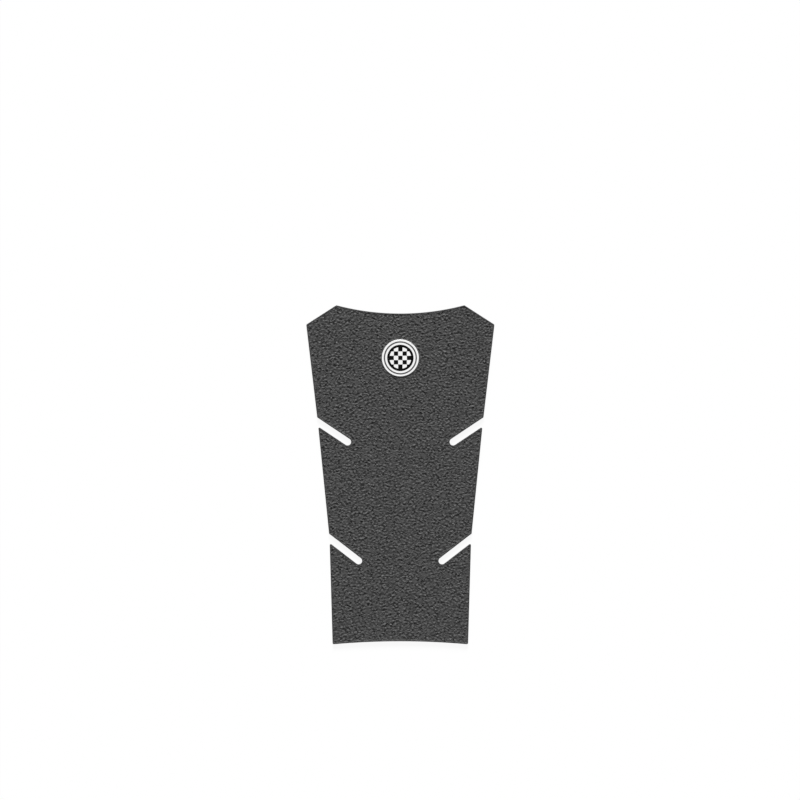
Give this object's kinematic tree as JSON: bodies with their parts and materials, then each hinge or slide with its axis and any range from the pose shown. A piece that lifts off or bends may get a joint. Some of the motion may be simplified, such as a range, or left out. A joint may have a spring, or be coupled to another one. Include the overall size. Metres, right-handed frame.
{
  "type": "motorcycle tank pad",
  "caption": "Flat textured rubber tank pad with a horned top edge, a tapering body, slanted relief slots in its sides and a small round badge.",
  "frame": {"origin": "middle of the pad's bounding box, on its flat adhesive back", "axes": "+Y runs along the pad to its horned top edge, +Z out of the textured face, +X to the right seen from that face with the horns up; x = 0 is the mirror line"},
  "size_m": [0.1108, 0.1998, 0.0023],
  "materials": {
    "pad_rubber": "matte dark grey rubber with a fine leather-like grain",
    "badge_plastic": "smooth white plastic with black and grey print"
  },
  "bodies": {
    "root": {"pad_sheet": "pad_rubber", "round_badge": "badge_plastic"}
  },
  "joints": []
}
